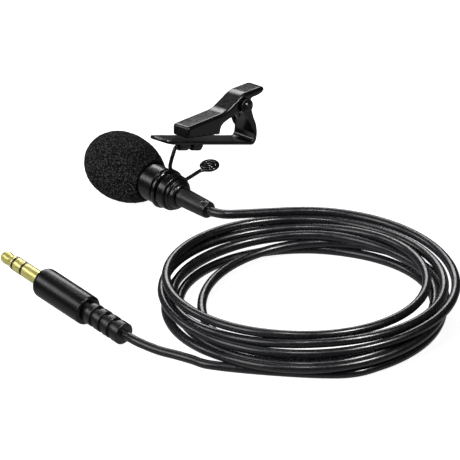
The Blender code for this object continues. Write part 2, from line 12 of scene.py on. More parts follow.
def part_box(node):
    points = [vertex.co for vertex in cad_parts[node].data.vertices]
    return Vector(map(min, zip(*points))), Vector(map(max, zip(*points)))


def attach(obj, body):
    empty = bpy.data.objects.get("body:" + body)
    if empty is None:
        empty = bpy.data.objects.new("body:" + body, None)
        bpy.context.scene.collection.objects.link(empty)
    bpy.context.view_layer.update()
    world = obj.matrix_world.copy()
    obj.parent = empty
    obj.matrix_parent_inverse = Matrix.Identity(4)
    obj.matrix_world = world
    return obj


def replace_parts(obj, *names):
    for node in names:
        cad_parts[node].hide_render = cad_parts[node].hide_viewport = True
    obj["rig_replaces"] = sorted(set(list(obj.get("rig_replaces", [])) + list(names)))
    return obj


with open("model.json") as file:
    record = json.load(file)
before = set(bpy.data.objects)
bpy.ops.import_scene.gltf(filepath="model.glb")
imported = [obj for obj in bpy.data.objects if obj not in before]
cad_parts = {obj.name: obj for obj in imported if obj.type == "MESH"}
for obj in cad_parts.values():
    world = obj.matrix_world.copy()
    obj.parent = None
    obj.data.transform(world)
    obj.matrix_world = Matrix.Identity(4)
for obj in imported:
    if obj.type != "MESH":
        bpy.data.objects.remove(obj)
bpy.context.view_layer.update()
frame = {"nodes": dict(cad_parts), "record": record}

MM = 0.001
UP = Vector((0, 0, 1))


def middle(node):
    low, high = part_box(node)
    return (low + high) / 2


# Places from the frame. Stations on the microphone run from the windscreen's middle towards the cable.
FOAM_RADIUS = 8.23
FOAM_FRONT = 10.17
FOAM_TAPER = 12.76
foam_middle = middle("foam_windscreen")
MIC_CENTRE = Vector((foam_middle.x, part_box("foam_windscreen")[1].y - FOAM_FRONT * MM, foam_middle.z))
MIC_GROUND = Vector((MIC_CENTRE.x, MIC_CENTRE.y, 0.0))
COIL_CENTRE = Vector((middle("cable_coil").x, middle("cable_coil").y, 0.0))

# The camera looks along +Y, turned this far towards +X, from this far above the horizon.
VIEW_TURN = math.radians(42.54)
VIEW_HEIGHT = math.radians(28.0)
VIEW_DISTANCE = 4.0
VIEW_TARGET = MIC_GROUND + Vector((7.47, -29.49, 0.0)) * MM
VIEW_WIDTH = 108.24 * MM


def camera():
    data = bpy.data.cameras.new("camera")
    data.sensor_width = 36.0
    data.lens = data.sensor_width * VIEW_DISTANCE / VIEW_WIDTH
    data.clip_start, data.clip_end = 0.1, 30.0
    ahead = Vector((math.sin(VIEW_TURN), math.cos(VIEW_TURN), -math.tan(VIEW_HEIGHT))).normalized()
    made = bpy.data.objects.new("camera", data)
    made.location = VIEW_TARGET - ahead * VIEW_DISTANCE
    made.rotation_euler = ahead.to_track_quat("-Z", "Y").to_euler()
    bpy.context.scene.collection.objects.link(made)
    bpy.context.scene.camera = made


# Materials. Texture coordinates are each piece's own, in millimetres.
class Look:
    """A Principled material, with short ways to add nodes to it."""

    def __init__(self, name, color, roughness, metallic=0.0, specular=0.5, coat=0.0, coat_roughness=0.1):
        self.material = bpy.data.materials.new(name)
        self.material.use_nodes = True
        self.nodes = self.material.node_tree.nodes
        self.links = self.material.node_tree.links
        self.shader = self.nodes["Principled BSDF"]
        for socket, value in (
            ("Base Color", (*color, 1.0)),
            ("Roughness", roughness),
            ("Metallic", metallic),
            ("Specular IOR Level", specular),
            ("Coat Weight", coat),
            ("Coat Roughness", coat_roughness),
        ):
            self.shader.inputs[socket].default_value = value
        self.normal = None

    def node(self, kind, **values):
        made = self.nodes.new(kind)
        for key, value in values.items():
            setattr(made, key, value)
        return made

    def link(self, source, target):
        self.links.new(source, target)

    def place(self, stretch=(1.0, 1.0, 1.0)):
        """The piece's own coordinates in millimetres, stretched along its axes."""
        source = self.node("ShaderNodeTexCoord")
        mapping = self.node("ShaderNodeMapping")
        mapping.inputs["Scale"].default_value = tuple(1000.0 * s for s in stretch)
        self.link(source.outputs["Object"], mapping.inputs["Vector"])
        return mapping.outputs["Vector"]

    def noise(self, scale, detail=3.0, stretch=(1.0, 1.0, 1.0), rough=0.5):
        """Noise with this many features per millimetre."""
        made = self.node("ShaderNodeTexNoise")
        made.inputs["Scale"].default_value = scale
        made.inputs["Detail"].default_value = detail
        made.inputs["Roughness"].default_value = rough
        self.link(self.place(stretch), made.inputs["Vector"])
        return made.outputs["Fac"]

    def cells(self, scale):
        """Round cells, with this many per millimetre."""
        made = self.node("ShaderNodeTexVoronoi", feature="F1")
        made.inputs["Scale"].default_value = scale
        self.link(self.place(), made.inputs["Vector"])
        return made.outputs["Distance"]

    def lines(self, pitch, distortion):
        """Fine lines across the piece's Z, this far apart in millimetres."""
        made = self.node("ShaderNodeTexWave", wave_type="BANDS", bands_direction="Z")
        made.inputs["Scale"].default_value = 1.0 / (3.2 * pitch)
        made.inputs["Distortion"].default_value = distortion
        self.link(self.place(), made.inputs["Vector"])
        return made.outputs["Fac"]

    def ramp(self, source, low, high, start=0.0, end=1.0):
        made = self.node("ShaderNodeMapRange")
        made.inputs["From Min"].default_value = start
        made.inputs["From Max"].default_value = end
        made.inputs["To Min"].default_value = low
        made.inputs["To Max"].default_value = high
        self.link(source, made.inputs["Value"])
        return made.outputs["Result"]

    def color(self, source, dark, light, start=0.0, end=1.0):
        made = self.node("ShaderNodeMix", data_type="RGBA")
        made.inputs[6].default_value = (*dark, 1.0)
        made.inputs[7].default_value = (*light, 1.0)
        self.link(self.ramp(source, 0.0, 1.0, start, end), made.inputs[0])
        self.link(made.outputs[2], self.shader.inputs["Base Color"])
        return made.outputs[2]

    def rough(self, source, low, high):
        self.link(self.ramp(source, low, high, 0.3, 0.7), self.shader.inputs["Roughness"])

    def bump(self, source, height):
        """Bump of this height in millimetres."""
        made = self.node("ShaderNodeBump")
        made.inputs["Strength"].default_value = 1.0
        made.inputs["Distance"].default_value = height * MM
        self.link(source, made.inputs["Height"])
        if self.normal is not None:
            self.link(self.normal, made.inputs["Normal"])
        self.normal = made.outputs["Normal"]
        self.link(self.normal, self.shader.inputs["Normal"])
        return self


def coat_look(name, color, light, roughness, grain=5.0, height=0.006):
    """A thin satin coat: faint mottling, fine orange peel and uneven gloss."""
    look = Look(name, color, roughness)
    mottle = look.noise(0.35, 4.0)
    look.color(mottle, color, light, 0.35, 0.7)
    look.rough(look.noise(1.1, 4.0), roughness * 0.85, roughness * 1.2)
    look.bump(look.noise(grain, 4.0), height)
    return look


def looks():
    made = {}

    foam = Look("windscreen_foam", (0.01, 0.01, 0.01), 0.95, specular=0.12)
    speck = foam.cells(2.3)
    fine = foam.noise(3.4, 5.0, rough=0.7)
    both = foam.node("ShaderNodeMath", operation="MULTIPLY_ADD")
    foam.link(speck, both.inputs[0])
    both.inputs[1].default_value = -0.55
    foam.link(fine, both.inputs[2])
    foam.color(both.outputs[0], (0.005, 0.005, 0.0051), (0.17, 0.17, 0.173), 0.22, 0.52)
    foam.bump(speck, -0.25)
    foam.bump(fine, 0.12)
    made["windscreen_foam"] = foam

    dark, light = (0.0035, 0.0035, 0.0036), (0.006, 0.006, 0.0063)
    metal = coat_look("black_satin_metal", dark, light, 0.26, 5.0, 0.001)
    metal.bump(metal.lines(0.16, distortion=1.0), 0.0006)
    made["black_satin_metal"] = metal

    clip = coat_look("clip_satin_black", (0.004, 0.004, 0.0041), (0.008, 0.008, 0.0083), 0.22, 6.0, 0.002)
    clip.bump(clip.noise(1.0, 2.0, stretch=(2.2, 0.25, 2.2)), 0.008)
    made["clip_satin_black"] = clip

    wire = Look("black_gloss_wire", (0.006, 0.006, 0.0063), 0.14, specular=0.6, coat=0.4)
    wire.rough(wire.noise(1.6, 3.0), 0.1, 0.2)
    wire.bump(wire.noise(3.0, 3.0), 0.004)
    made["black_gloss_wire"] = wire

    rubber = Look("dark_rubber", (0.016, 0.016, 0.018), 0.34, specular=0.6)
    rubber.color(rubber.noise(0.8, 4.0), (0.009, 0.009, 0.01), (0.015, 0.015, 0.0167), 0.35, 0.7)
    rubber.rough(rubber.noise(2.0, 4.0), 0.28, 0.4)
    rubber.bump(rubber.noise(7.0, 3.0), 0.003)
    made["dark_rubber"] = rubber

    cable = Look("cable_pvc", (0.02, 0.02, 0.023), 0.3, specular=0.6)
    cable.color(cable.noise(0.25, 3.0), (0.015, 0.0153, 0.0195), (0.023, 0.0233, 0.029), 0.35, 0.7)
    cable.rough(cable.noise(0.7, 3.0), 0.22, 0.32)
    cable.bump(cable.noise(0.8, 2.0), 0.004)
    cable.bump(cable.noise(5.0, 2.0), 0.0006)
    made["cable_pvc"] = cable

    plug = Look("plug_plastic", (0.007, 0.0075, 0.009), 0.3, specular=0.42)
    plug.color(plug.noise(0.4, 3.0), (0.004, 0.0043, 0.0056), (0.006, 0.0064, 0.008), 0.35, 0.7)
    plug.rough(plug.noise(1.5, 4.0), 0.25, 0.33)
    plug.bump(plug.noise(8.0, 3.0), 0.002)
    made["plug_plastic"] = plug

    gold = Look("gold_plate", (1.0, 0.86, 0.42), 0.3, metallic=0.45)
    along = gold.noise(1.0, 4.0, stretch=(4.0, 4.0, 0.25))
    gold.color(along, (0.78, 0.67, 0.15), (1.0, 0.93, 0.38), 0.35, 0.6)
    gold.rough(gold.noise(1.2, 4.0, stretch=(3.0, 3.0, 0.3)), 0.22, 0.42)
    gold.bump(gold.noise(1.6, 3.0, stretch=(5.0, 5.0, 0.2)), 0.004)
    made["gold_plate"] = gold

    dark, light = (0.006, 0.006, 0.007), (0.01, 0.01, 0.011)
    made["insulator_plastic"] = coat_look("insulator_plastic", dark, light, 0.35)

    steel = Look("spring_steel", (0.5, 0.5, 0.52), 0.28, metallic=1.0)
    steel.rough(steel.noise(2.0, 4.0, stretch=(1.0, 1.0, 0.2)), 0.2, 0.38)
    steel.color(steel.noise(1.0, 3.0), (0.4, 0.4, 0.42), (0.56, 0.56, 0.58), 0.3, 0.7)
    steel.bump(steel.noise(6.0, 2.0), 0.003)
    made["spring_steel"] = steel

    tin = Look("capsule_aluminium", (0.75, 0.75, 0.77), 0.35, metallic=1.0)
    tin.rough(tin.noise(3.0, 4.0), 0.26, 0.44)
    tin.color(tin.noise(1.0, 3.0), (0.68, 0.68, 0.7), (0.8, 0.8, 0.82), 0.3, 0.7)
    tin.bump(tin.noise(8.0, 2.0), 0.003)
    made["capsule_aluminium"] = tin

    made["board_green"] = coat_look("board_green", (0.02, 0.12, 0.045), (0.035, 0.17, 0.065), 0.35)
    made["insulated_core"] = coat_look("insulated_core", (0.5, 0.09, 0.06), (0.6, 0.13, 0.09), 0.4)
    felt = Look("felt", (0.06, 0.06, 0.06), 0.95, specular=0.1)
    felt.color(felt.noise(5.0, 4.0), (0.04, 0.04, 0.04), (0.1, 0.1, 0.1), 0.3, 0.7)
    felt.bump(felt.noise(8.0, 4.0), 0.05)
    made["felt"] = felt
    return {name: look.material for name, look in made.items()}


LOOKS = looks()


LIGHT_DISTANCE = 0.7


def softbox(name, direction, size, radiance):
    """A rectangle of light facing the object, with its size in metres."""
    data = bpy.data.lights.new(name, "AREA")
    data.shape = "RECTANGLE"
    data.size, data.size_y = size
    data.energy = math.pi * radiance * size[0] * size[1]
    made = bpy.data.objects.new(name, data)
    away = Vector(direction).normalized()
    made.location = VIEW_TARGET + away * LIGHT_DISTANCE
    made.rotation_euler = away.to_track_quat("Z", "Y").to_euler()
    bpy.context.scene.collection.objects.link(made)
    return made


def studio():
    """Dim surroundings, lighter below, six softboxes, and a white floor that reflections don't show."""
    world = bpy.data.worlds.new("studio")
    world.use_nodes = True
    nodes, links = world.node_tree.nodes, world.node_tree.links
    background = nodes["Background"]
    background.inputs["Color"].default_value = (1.0, 1.0, 1.0, 1.0)
    source = nodes.new("ShaderNodeTexCoord")
    split = nodes.new("ShaderNodeSeparateXYZ")
    links.new(source.outputs["Generated"], split.inputs["Vector"])

    fade = nodes.new("ShaderNodeMapRange")
    for key, value in {"From Min": -0.32, "From Max": -0.2, "To Min": 0.36, "To Max": 0.05}.items():
        fade.inputs[key].default_value = value
    links.new(split.outputs["Z"], fade.inputs["Value"])
    links.new(fade.outputs["Result"], background.inputs["Strength"])
    bpy.context.scene.world = world
    bpy.context.scene.view_settings.view_transform = "Standard"
    softbox("back_light", (0.52, 0.68, 0.52), (0.36, 0.2), 6.6)
    softbox("back_left_light", (-0.6, 0.65, 0.47), (0.26, 0.22), 4.5)
    softbox("over_light", (0.2, 0.42, 0.89), (0.24, 0.24), 1.3)
    softbox("left_light", (-0.85, 0.05, 0.52), (0.4, 0.4), 4.0)
    softbox("top_light", (-0.35, -0.3, 0.86), (0.1, 0.1), 30.0).visible_diffuse = False
    softbox("key_light", (0.11, -0.62, 0.77), (0.13, 0.13), 80.0).visible_diffuse = False

    bm = bmesh.new()
    bmesh.ops.create_grid(bm, x_segments=1, y_segments=1, size=3.0)
    mesh = bpy.data.meshes.new("floor")
    bm.to_mesh(mesh)
    bm.free()
    look = Look("floor_white", (0.9, 0.9, 0.9), 0.9, specular=0.0)
    look.shader.inputs["Emission Color"].default_value = (1.0, 1.0, 1.0, 1.0)
    look.shader.inputs["Emission Strength"].default_value = 0.93
    mesh.materials.append(look.material)
    floor = bpy.data.objects.new("floor", mesh)
    floor.visible_glossy = False
    floor.visible_diffuse = False
    bpy.context.scene.collection.objects.link(floor)


def frame_of(origin, x_axis, y_axis, z_axis):
    return Matrix.Translation(origin) @ Matrix((x_axis, y_axis, z_axis)).transposed().to_4x4()


def axis_frame(origin, direction, up):
    """A frame whose Z runs along the direction, and whose X is near to up."""
    z_axis = direction.normalized()
    y_axis = z_axis.cross(up).normalized()
    return frame_of(origin, y_axis.cross(z_axis), y_axis, z_axis)


def piece(made, body, slot, *nodes):
    """The object moves with a CAD body and stands for these nodes. The slot is not used."""
    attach(made, body)
    if nodes:
        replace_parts(made, *nodes)
    return made


def mesh_object(name, bm, slot, matrix, sharp=35.0):
    """An object from a mesh in millimetres, shaded smooth but for edges sharper than this many degrees."""
    bmesh.ops.recalc_face_normals(bm, faces=bm.faces)
    bmesh.ops.scale(bm, vec=(MM, MM, MM), verts=bm.verts)
    mesh = bpy.data.meshes.new(name)
    bm.to_mesh(mesh)
    bm.free()
    mesh.materials.append(LOOKS[slot])
    mesh.shade_smooth()
    mesh.set_sharp_from_angle(angle=math.radians(sharp))
    made = bpy.data.objects.new(name, mesh)
    bpy.context.scene.collection.objects.link(made)
    made.matrix_world = matrix
    return made


def rounded(corners, radii, closed=True, steps=4):
    """An outline whose corners are rounded, each by its own radius or less where a side is short."""
    outline = []
    count = len(corners)
    for k, corner in enumerate(corners):
        here = Vector(corner)
        radius = radii[k] if isinstance(radii, (list, tuple)) else radii
        ends = not closed and k in (0, count - 1)
        before = Vector(corners[k - 1]) - here
        after = Vector(corners[(k + 1) % count]) - here
        reach = 0 if ends else min(radius, 0.45 * before.length, 0.45 * after.length)
        if reach <= 0:
            outline.append(tuple(here))
            continue
        first, last = here + before.normalized() * reach, here + after.normalized() * reach
        for s in range(steps + 1):
            t = s / steps
            outline.append(tuple(first * (1 - t) ** 2 + here * 2 * t * (1 - t) + last * t**2))
    return outline


def shaped(corners, closed=True, steps=4):
    """A rounded outline from pairs of a corner and its radius."""
    places, radii = zip(*corners)
    return rounded(places, radii, closed, steps)


def lathe(name, profile, slot, matrix, segments=96, sharp=35.0):
    """A solid turned about the frame's Z. The profile holds (station, radius) in millimetres, as a closed
    outline, or from axis to axis."""
    bm = bmesh.new()
    rings = []
    for station, radius in profile:
        if radius == 0:
            rings.append([bm.verts.new((0, 0, station))])
            continue
        angles = [2 * math.pi * k / segments for k in range(segments)]
        rings.append([bm.verts.new((radius * math.cos(a), radius * math.sin(a), station)) for a in angles])
    pairs = list(zip(rings, rings[1:])) + ([] if profile[0][1] == 0 else [(rings[-1], rings[0])])
    for first, second in pairs:
        for k in range(segments):
            after = (k + 1) % segments
            corners = [first[k % len(first)], first[after % len(first)]]
            corners += [second[after % len(second)], second[k % len(second)]]
            bm.faces.new(list(dict.fromkeys(corners)))
    return mesh_object(name, bm, slot, matrix, sharp)


def tube(name, points, radius, slot, matrix, resolution=4):
    curve = bpy.data.curves.new(name, "CURVE")
    curve.dimensions = "3D"
    curve.bevel_depth = radius
    curve.bevel_resolution = resolution
    curve.use_fill_caps = True
    spline = curve.splines.new("POLY")
    spline.points.add(len(points) - 1)
    for point, place in zip(spline.points, points):
        point.co = (*place, 1.0)
    spline.use_smooth = True
    curve.materials.append(LOOKS[slot])
    made = bpy.data.objects.new(name, curve)
    bpy.context.scene.collection.objects.link(made)
    made.matrix_world = matrix
    return made


def inset(corners, amounts):
    """The corners, each moved in by its amount, and whether each of them points out."""
    area = sum(x * corners[k - 1][1] - corners[k - 1][0] * y for k, (x, y) in enumerate(corners))
    side = 1 if area < 0 else -1
    moved, points_out = [], []
    for k, corner in enumerate(corners):
        here, after = Vector(corner), Vector(corners[(k + 1) % len(corners)])
        first, second = (here - Vector(corners[k - 1])).normalized(), (after - here).normalized()
        inwards = [Vector((-along.y, along.x)) * side for along in (first, second)]
        turn = 1 + inwards[0].dot(inwards[1])
        moved.append(here + (inwards[0] + inwards[1]) * (amounts[k] / max(turn, 0.35)))
        points_out.append(first.cross(second) * side > 0)
    return moved, points_out


def close_rings(bm, rings):
    """Joins the rings in order, closes both ends, and cuts every face into triangles."""
    for first, second in zip(rings, rings[1:]):
        for k in range(len(first)):
            after = (k + 1) % len(first)
            bm.faces.new([first[k], first[after], second[after], second[k]])
    bm.faces.new(rings[0])
    bm.faces.new(rings[-1])
    bm.normal_update()
    bmesh.ops.triangulate(bm, faces=bm.faces)


def plate(name, corners, low, high, edge, slot, matrix, radii=0.0, soft=1.0, steps=4):
    """An outline in the frame's XZ plane, from low to high along Y, in millimetres. Its corners have these
    radii, and its edges are rounded by edge times each corner's softness."""
    count = len(corners)
    radii = radii if isinstance(radii, list) else [radii] * count
    soft = soft if isinstance(soft, list) else [soft] * count
    layers = [(low, 0.0), (high, 0.0)]
    if edge:
        angles = [math.pi / 2 * (1 - k / steps) for k in range(steps + 1)]
        layers = [(low + edge * (1 - math.sin(a)), edge * (1 - math.cos(a))) for a in angles]
        layers += [(low + high - level, by) for level, by in reversed(layers)]
    bm = bmesh.new()
    rings = []
    for level, by in layers:
        moved, points_out = inset(corners, [by * share for share in soft])
        reaches = []
        for k in range(count):
            change = -by * soft[k] if points_out[k] else by * soft[k]
            reaches.append(max(radii[k] + change, 0.02) if radii[k] else 0.0)
        ring = rounded(moved, reaches)
        rings.append([bm.verts.new((x, level, z)) for x, z in ring])
    close_rings(bm, rings)
    return mesh_object(name, bm, slot, matrix)


def join(target, *others):
    """Adds the other pieces' meshes to the target's, and removes them."""
    bm = bmesh.new()
    bm.from_mesh(target.data)
    for other in others:
        other.data.transform(target.matrix_world.inverted() @ other.matrix_world)
        bm.from_mesh(other.data)
        bpy.data.objects.remove(other)
    bm.to_mesh(target.data)
    bm.free()


def combine(target, other, operation):
    """Applies a Boolean with the exact solver, and removes the other object."""
    modifier = target.modifiers.new(operation.lower(), "BOOLEAN")
    modifier.operation = operation
    modifier.solver = "EXACT"
    modifier.object = other
    graph = bpy.context.evaluated_depsgraph_get()
    target.data = bpy.data.meshes.new_from_object(target.evaluated_get(graph))
    target.modifiers.clear()
    bpy.data.objects.remove(other)


def baked(made):
    """The object with its place and turn moved into its mesh, so its box is the room it takes."""
    made.data.transform(made.matrix_world)
    made.matrix_world = Matrix.Identity(4)
    return made


def crisp(made):
    """Shades flat faces flat and rounded edges round."""
    made.data.shade_smooth()
    made.data.set_sharp_from_angle(angle=math.radians(35.0))
    made.modifiers.new("normals", "WEIGHTED_NORMAL").keep_sharp = True


MIC = axis_frame(MIC_CENTRE, Vector((0, -1, 0)), UP)
BARREL_RADIUS = 4.4
BARREL_BORE = 3.45
BARREL_FRONT = -5.0
BARREL_REAR = 18.85
RING_STATION = 15.4
GROOVE_RADIUS = 3.85
GROOVE_WIDTH = 2.3
CAP_REAR = 21.0
CAP_DEPTH = 2.2
MIC_REAR = 30.4
GAP = 0.05


def windscreen():
    """Reticulated foam: an egg with a socket for the barrel, its surface pitted by the foam's cells."""
    bore = BARREL_RADIUS + 0.15
    rim_angle = math.asin((bore + 0.5) / FOAM_RADIUS)
    steps = 150
    profile = [(-FOAM_FRONT, 0.0)]
    for k in range(1, steps + 1):
        angle = math.pi - (math.pi - rim_angle) * k / steps
        length = FOAM_FRONT if angle > math.pi / 2 else FOAM_TAPER
        profile.append((length * math.cos(angle), FOAM_RADIUS * math.sin(angle)))
    rim = profile[-1][0]
    lip = rounded([profile[-1], (rim + 0.05, bore + 0.12), (rim - 0.6, bore)], 0.4, closed=False, steps=6)
    profile += lip[1:]
    profile += [(rim - 0.6 - 0.5 * k, bore) for k in range(1, 6)]
    profile += [(BARREL_FRONT - 0.3, bore), (BARREL_FRONT - 0.3, 0.0)]
    made = lathe("windscreen", profile, "windscreen_foam", MIC, 190, 180.0)
    mesh = made.data
    for vertex, normal in zip(mesh.vertices, [v.normal.copy() for v in mesh.vertices]):
        place = vertex.co / MM
        if place.z > BARREL_FRONT - 1.0 and place.xy.length < bore + 0.2:
            continue
        cell = noise.noise(place * 1.9) * 0.5 + noise.noise(place * 3.6 + Vector((7, 3, 5))) * 0.35
        broad = noise.noise(place * 0.28 + Vector((2, 9, 4)))
        vertex.co -= normal * ((0.13 + 0.17 * max(-0.75, min(0.75, cell)) + 0.1 * abs(broad)) * MM)
    piece(made, "windscreen", "windscreen_foam", "foam_windscreen")


def barrel():
    low, high = RING_STATION - GROOVE_WIDTH / 2, RING_STATION + GROOVE_WIDTH / 2
    corners = [
        (BARREL_FRONT, BARREL_BORE),
        (BARREL_FRONT, BARREL_RADIUS),
        (low, BARREL_RADIUS),
        (low + 0.1, GROOVE_RADIUS),
        (high - 0.1, GROOVE_RADIUS),
        (high, BARREL_RADIUS),
        (BARREL_REAR, BARREL_RADIUS - 0.05),
        (BARREL_REAR, BARREL_BORE),
    ]
    profile = rounded(corners, [0.1, 0.4, 0.18, 0.12, 0.12, 0.2, 0.45, 0.1], steps=6)
    made = lathe("barrel_shell", profile, "black_satin_metal", MIC)
    piece(made, "microphone", "black_satin_metal", "barrel")

    seam = BARREL_REAR + GAP
    corners = [
        (seam - CAP_DEPTH, 1.5),
        (seam - CAP_DEPTH, BARREL_BORE - GAP),
        (seam, BARREL_BORE - GAP),
        (seam, 3.85),
        (seam + 0.85, 3.85),
        (seam + 1.0, 3.3),
        (CAP_REAR - 0.4, 3.08),
        (CAP_REAR, 2.72),
        (CAP_REAR, 1.5),
    ]
    profile = rounded(corners, [0.05, 0.2, 0.02, 0.15, 0.25, 0.15, 0.3, 0.2, 0.05], steps=5)
    made = lathe("end_cap", profile, "black_satin_metal", MIC)
    piece(made, "microphone", "black_satin_metal", "rear_cap")

    neck = 1.5 - GAP
    head = BARREL_REAR - CAP_DEPTH - 0.25
    start = CAP_REAR + 0.1
    sleeve = [(head - 0.8, 0.0), (head - 0.8, 2.3), (head, 2.3), (head, neck), (start, neck), (start, 2.1)]
    sleeve += rounded([(start, 2.1), (start, 2.3), (start + 0.6, 2.3)], 0.2, closed=False)[1:]
    ridge = 0.36
    station = start + 0.7
    end = MIC_REAR - 1.7
    while station + ridge < end:
        along = (station - start) / (end - start)
        radius = 2.3 - 0.2 * along
        for share, by in ((0.0, 0.045), (0.2, 0.01), (0.5, 0.0), (0.8, 0.01)):
            sleeve.append((station + ridge * share, radius - by))
        station += ridge
    sleeve += [(end - 0.1, 2.06), (end - 0.02, 1.98), (end + 0.12, 1.98), (end + 0.2, 2.06)]
    sleeve += rounded([(end + 0.3, 2.07), (MIC_REAR, 2.0), (MIC_REAR, 1.2)], 0.35, closed=False)
    sleeve.append((MIC_REAR, 0.0))
    made = lathe("cable_sleeve", sleeve, "dark_rubber", MIC, 80, 50.0)
    piece(made, "microphone", "dark_rubber", "mic_strain_relief")


# Wire holder, in the plane of its ring: X runs along the leg, Y from the ring's middle to the leg.
WIRE_RADIUS = 0.47
RING_RADIUS = 4.42
HOLDER_LEAN = math.radians(19.57)
STEM_HEIGHT = 10.4
LEG_LENGTH = 8.6
ARM_ANGLE = math.radians(26.3)
ARM_REACH = 13.4
CURL_RADIUS = 1.95
BEND_RADIUS = 0.8
LEG_AXIS = Vector((math.cos(HOLDER_LEAN), 0, -math.sin(HOLDER_LEAN)))
STEM_AXIS = Vector((math.sin(HOLDER_LEAN), 0, math.cos(HOLDER_LEAN)))
RING_CENTRE = MIC_CENTRE + Vector((0, -RING_STATION, 0)) * MM
HOLDER = frame_of(RING_CENTRE, LEG_AXIS, STEM_AXIS, LEG_AXIS.cross(STEM_AXIS))
WIRE_PITCH = 2 * WIRE_RADIUS + 0.12


def smooth(points, spacing):
    """Points about this far apart along a smooth curve through the given ones (centripetal Catmull-Rom)."""
    given = [np.array(p, float) for p in points]
    padded = [2 * given[0] - given[1], *given, 2 * given[-1] - given[-2]]
    made = [given[0]]
    for a, b, c, d in zip(padded, padded[1:], padded[2:], padded[3:]):
        knots = [0.0]
        for first, second in ((a, b), (b, c), (c, d)):
            knots.append(knots[-1] + max(np.linalg.norm(second - first), 1e-9) ** 0.5)
        t0, t1, t2, t3 = knots
        count = max(1, round(np.linalg.norm(c - b) / spacing))
        for k in range(1, count + 1):
            t = t1 + (t2 - t1) * k / count
            ab = ((t1 - t) * a + (t - t0) * b) / (t1 - t0)
            bc = ((t2 - t) * b + (t - t1) * c) / (t2 - t1)
            cd = ((t3 - t) * c + (t - t2) * d) / (t3 - t2)
            abc = ((t2 - t) * ab + (t - t0) * bc) / (t2 - t0)
            bcd = ((t3 - t) * bc + (t - t1) * cd) / (t3 - t1)
            made.append(((t2 - t) * abc + (t - t1) * bcd) / (t2 - t1))
    return np.array(made)


def holder():
    arm = Vector((math.cos(ARM_ANGLE), math.sin(ARM_ANGLE), 0))
    back = UP
    points = []
    eye_middle = arm * ARM_REACH + back * (WIRE_PITCH / 2)
    eye_turns, eye_steps = 2.0, 80
    step_in = 2 * WIRE_RADIUS + 0.07
    for k in range(eye_steps, -1, -1):
        turns = eye_turns * k / eye_steps
        angle = math.radians(150) - 2 * math.pi * turns
        t = min(max((turns - 0.75) / 0.25, 0), 1)
        radius = CURL_RADIUS - step_in * t * t * (3 - 2 * t)
        points.append(eye_middle + radius * (math.cos(angle) * arm + math.sin(angle) * back))
    for along, across in ((-2.2, 0.33), (-2.75, 0.06), (-3.4, 0.0)):
        points.append(eye_middle + along * arm + across * back)
    points.append(arm * (RING_RADIUS + BEND_RADIUS) + back * (WIRE_PITCH / 2))
    sweep_angle = 2 * math.pi + math.pi / 2 - ARM_ANGLE - 2 * BEND_RADIUS / RING_RADIUS
    first_angle = ARM_ANGLE + BEND_RADIUS / RING_RADIUS
    ring_steps = 80
    for k in range(ring_steps + 1):
        t = k / ring_steps
        angle = first_angle + sweep_angle * t
        place = Vector((math.cos(angle), math.sin(angle), 0)) * RING_RADIUS
        points.append(place + back * (WIRE_PITCH * (0.5 - t)))
    level = -WIRE_PITCH / 2
    points.append(Vector((0, RING_RADIUS + BEND_RADIUS, level)))
    for k in range(7):
        angle = math.pi - math.pi / 2 * k / 6
        across, up = math.cos(angle), math.sin(angle)
        bend = (BEND_RADIUS * (1 + across), STEM_HEIGHT - BEND_RADIUS * (1 - up), level)
        points.append(Vector(bend))
    points.append(Vector((LEG_LENGTH, STEM_HEIGHT, level)))
    made = tube("holder_wire", smooth(points, 0.35) * MM, WIRE_RADIUS * MM, "black_gloss_wire", HOLDER, 6)
    piece(baked(made), "holder", "black_gloss_wire", "wire_holder")


# The clip: X runs from the nose to the thumb lever, Y across it towards the windscreen, and Z up.
CLIP_SWIVEL = math.radians(6.5)
JAW_NEAR = -1.1
JAW_FAR = 5.9
PLATE_BOTTOM = 0.55
JAW_THICKNESS = 0.8
PIVOT = (21.0, 9.85)
PIN_RADIUS = 0.75
EAR_RADIUS = 1.85
EAR_THICKNESS = 0.6
JAW_GAP = 0.25
SKIN = 0.65
FRONT = Vector((0, 1, 0))
CLIP = frame_of(
    HOLDER @ (Vector((0, STEM_HEIGHT, -WIRE_PITCH / 2)) * MM),
    LEG_AXIS,
    math.cos(CLIP_SWIVEL) * FRONT - math.sin(CLIP_SWIVEL) * STEM_AXIS,
    math.cos(CLIP_SWIVEL) * STEM_AXIS + math.sin(CLIP_SWIVEL) * FRONT,
)
PIVOT_PLACE = Matrix.Translation(Vector((PIVOT[0], 0, PIVOT[1])) * MM)
ACROSS = CLIP @ PIVOT_PLACE @ Matrix.Rotation(-math.pi / 2, 4, "X")
CLIP_SLOT = "clip_satin_black"


def round_bar(name, low, high, radius, matrix, edge=0.0):
    corners = [(low, 0.0), (low, radius), (high, radius), (high, 0.0)]
    profile = rounded(corners, edge, closed=False) if edge else corners
    return lathe(name, profile, CLIP_SLOT, matrix, 40)


